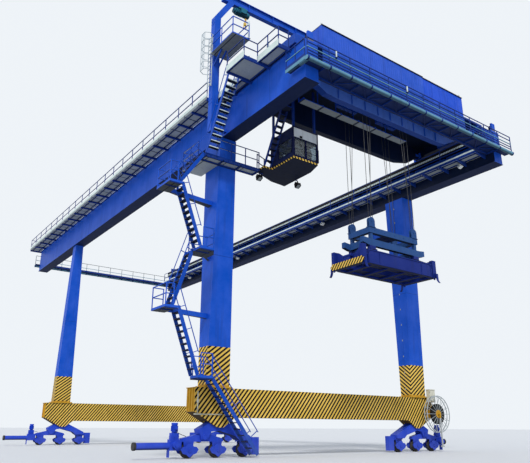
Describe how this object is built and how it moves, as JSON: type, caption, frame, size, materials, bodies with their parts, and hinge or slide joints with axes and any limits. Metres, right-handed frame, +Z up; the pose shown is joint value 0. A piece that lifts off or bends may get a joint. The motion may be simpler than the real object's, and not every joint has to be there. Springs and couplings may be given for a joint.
{
  "type": "1:2 scale model of a rail-mounted gantry crane",
  "caption": "Half-size model of a rail-mounted container gantry crane: legs on bogies, double girder, trolley with cab, telescopic spreader, stair tower and cable reel.",
  "frame": {"origin": "midway between the four legs, at the level the wheel flanges reach down to", "axes": "+X along the ground rails, +Y along the girders from the near end to the far end, +Z up"},
  "size_m": [11.61, 23.9296, 14.0499],
  "materials": {
    "structure_blue": "satin",
    "rail_white": "satin",
    "galvanised": "matte",
    "chain_black": "matte",
    "hoist_teal": "satin",
    "reel_cream": "satin",
    "trolley_dark": "satin",
    "house_light": "satin",
    "house_blue": "satin",
    "cab_white": "satin",
    "cab_glass": "clear",
    "wire_rope": "matte",
    "spreader_teal": "satin",
    "spreader_blue": "satin",
    "wheel_iron": "matte"
  },
  "bodies": {
    "frame": {"girder_left": "structure_blue", "girder_right": "structure_blue", "leg_near_left": "structure_blue", "leg_near_right": "structure_blue", "leg_far_left": "structure_blue", "leg_far_right": "structure_blue", "sill_near": "structure_blue", "sill_far": "structure_blue", "end_tie_near": "rail_white", "end_tie_far": "galvanised", "walkway_left": "galvanised", "railing_left": "rail_white", "walkway_right": "galvanised", "cable_tray": "chain_black", "stair_landings": "galvanised", "top_platform": "galvanised", "service_portal": "structure_blue", "service_hoist": "hoist_teal", "reel_stand": "reel_cream", "bogie_near_left": "structure_blue", "bogie_near_right": "structure_blue", "bogie_far_left": "structure_blue", "bogie_far_right": "structure_blue", "stair_flight_1": "structure_blue", "stair_flight_2": "structure_blue", "stair_flight_3": "structure_blue", "stair_flight_4": "structure_blue", "stair_flight_5": "structure_blue", "stair_flight_6": "structure_blue"},
    "trolley": {"trolley_frame": "trolley_dark", "machine_house": "house_light", "electrical_house": "house_blue", "trolley_gallery": "rail_white", "cab_shell": "cab_white", "cab_glass": "cab_glass", "cab_access": "trolley_dark", "hoist_ropes": "wire_rope"},
    "hoist": {"headblock": "spreader_teal", "spreader_frame": "spreader_blue"},
    "arm_left": {"spreader_arm_left": "spreader_blue"},
    "arm_right": {"spreader_arm_right": "spreader_blue"},
    "reel": {"reel_drum": "reel_cream"},
    "flipper_near_left": {"flipper_near_left": "spreader_blue"},
    "flipper_near_right": {"flipper_near_right": "spreader_blue"},
    "flipper_far_left": {"flipper_far_left": "spreader_blue"},
    "flipper_far_right": {"flipper_far_right": "spreader_blue"},
    "wheel_near_left_outer": {"wheel_near_left_outer": "wheel_iron"},
    "wheel_near_left_middle": {"wheel_near_left_middle": "wheel_iron"},
    "wheel_near_left_inner": {"wheel_near_left_inner": "wheel_iron"},
    "wheel_near_right_outer": {"wheel_near_right_outer": "wheel_iron"},
    "wheel_near_right_middle": {"wheel_near_right_middle": "wheel_iron"},
    "wheel_near_right_inner": {"wheel_near_right_inner": "wheel_iron"},
    "wheel_far_left_outer": {"wheel_far_left_outer": "wheel_iron"},
    "wheel_far_left_middle": {"wheel_far_left_middle": "wheel_iron"},
    "wheel_far_left_inner": {"wheel_far_left_inner": "wheel_iron"},
    "wheel_far_right_outer": {"wheel_far_right_outer": "wheel_iron"},
    "wheel_far_right_middle": {"wheel_far_right_middle": "wheel_iron"},
    "wheel_far_right_inner": {"wheel_far_right_inner": "wheel_iron"}
  },
  "joints": [
    {"name": "trolley_travel", "type": "slide", "parent": "frame", "child": "trolley", "axis": [0, 1, 0], "range_m": [0, 17]},
    {"name": "hoist_lift", "type": "slide", "parent": "trolley", "child": "hoist", "axis": [0, 0, 1], "range_m": [0, 2.3], "deforming": ["hoist_ropes"]},
    {"name": "arm_left_slide", "type": "slide", "parent": "hoist", "child": "arm_left", "axis": [-1, 0, 0], "range_m": [0, 1.533]},
    {"name": "arm_right_slide", "type": "slide", "parent": "hoist", "child": "arm_right", "axis": [1, 0, 0], "range_m": [0, 1.533]},
    {"name": "reel_spin", "type": "hinge", "parent": "frame", "child": "reel", "pos_m": [4.55, -7.01, 1.195], "axis": [0, 1, 0], "continuous": true},
    {"name": "flipper_near_left_swing", "type": "hinge", "parent": "arm_left", "child": "flipper_near_left", "pos_m": [-1.46325, -9.85, 4.985], "axis": [-1, 0, 0], "range_deg": [0, 160]},
    {"name": "flipper_near_right_swing", "type": "hinge", "parent": "arm_right", "child": "flipper_near_right", "pos_m": [1.46325, -9.85, 4.985], "axis": [-1, 0, 0], "range_deg": [0, 160]},
    {"name": "flipper_far_left_swing", "type": "hinge", "parent": "arm_left", "child": "flipper_far_left", "pos_m": [-1.46325, -8.54, 4.985], "axis": [1, 0, 0], "range_deg": [0, 160]},
    {"name": "flipper_far_right_swing", "type": "hinge", "parent": "arm_right", "child": "flipper_far_right", "pos_m": [1.46325, -8.54, 4.985], "axis": [1, 0, 0], "range_deg": [0, 160]},
    {"name": "wheel_near_left_outer_spin", "type": "hinge", "parent": "frame", "child": "wheel_near_left_outer", "pos_m": [-4.715, -6.5, 0.19], "axis": [0, 1, 0], "continuous": true},
    {"name": "wheel_near_left_middle_spin", "type": "hinge", "parent": "frame", "child": "wheel_near_left_middle", "pos_m": [-3.885, -6.5, 0.19], "axis": [0, 1, 0], "continuous": true},
    {"name": "wheel_near_left_inner_spin", "type": "hinge", "parent": "frame", "child": "wheel_near_left_inner", "pos_m": [-3.04, -6.5, 0.19], "axis": [0, 1, 0], "continuous": true},
    {"name": "wheel_near_right_outer_spin", "type": "hinge", "parent": "frame", "child": "wheel_near_right_outer", "pos_m": [4.715, -6.5, 0.19], "axis": [0, 1, 0], "continuous": true},
    {"name": "wheel_near_right_middle_spin", "type": "hinge", "parent": "frame", "child": "wheel_near_right_middle", "pos_m": [3.885, -6.5, 0.19], "axis": [0, 1, 0], "continuous": true},
    {"name": "wheel_near_right_inner_spin", "type": "hinge", "parent": "frame", "child": "wheel_near_right_inner", "pos_m": [3.04, -6.5, 0.19], "axis": [0, 1, 0], "continuous": true},
    {"name": "wheel_far_left_outer_spin", "type": "hinge", "parent": "frame", "child": "wheel_far_left_outer", "pos_m": [-4.715, 6.5, 0.19], "axis": [0, 1, 0], "continuous": true},
    {"name": "wheel_far_left_middle_spin", "type": "hinge", "parent": "frame", "child": "wheel_far_left_middle", "pos_m": [-3.885, 6.5, 0.19], "axis": [0, 1, 0], "continuous": true},
    {"name": "wheel_far_left_inner_spin", "type": "hinge", "parent": "frame", "child": "wheel_far_left_inner", "pos_m": [-3.04, 6.5, 0.19], "axis": [0, 1, 0], "continuous": true},
    {"name": "wheel_far_right_outer_spin", "type": "hinge", "parent": "frame", "child": "wheel_far_right_outer", "pos_m": [4.715, 6.5, 0.19], "axis": [0, 1, 0], "continuous": true},
    {"name": "wheel_far_right_middle_spin", "type": "hinge", "parent": "frame", "child": "wheel_far_right_middle", "pos_m": [3.885, 6.5, 0.19], "axis": [0, 1, 0], "continuous": true},
    {"name": "wheel_far_right_inner_spin", "type": "hinge", "parent": "frame", "child": "wheel_far_right_inner", "pos_m": [3.04, 6.5, 0.19], "axis": [0, 1, 0], "continuous": true}
  ],
  "couplings": [
    {"joint": "arm_right_slide", "follows": "arm_left_slide", "ratio": 1}
  ]
}
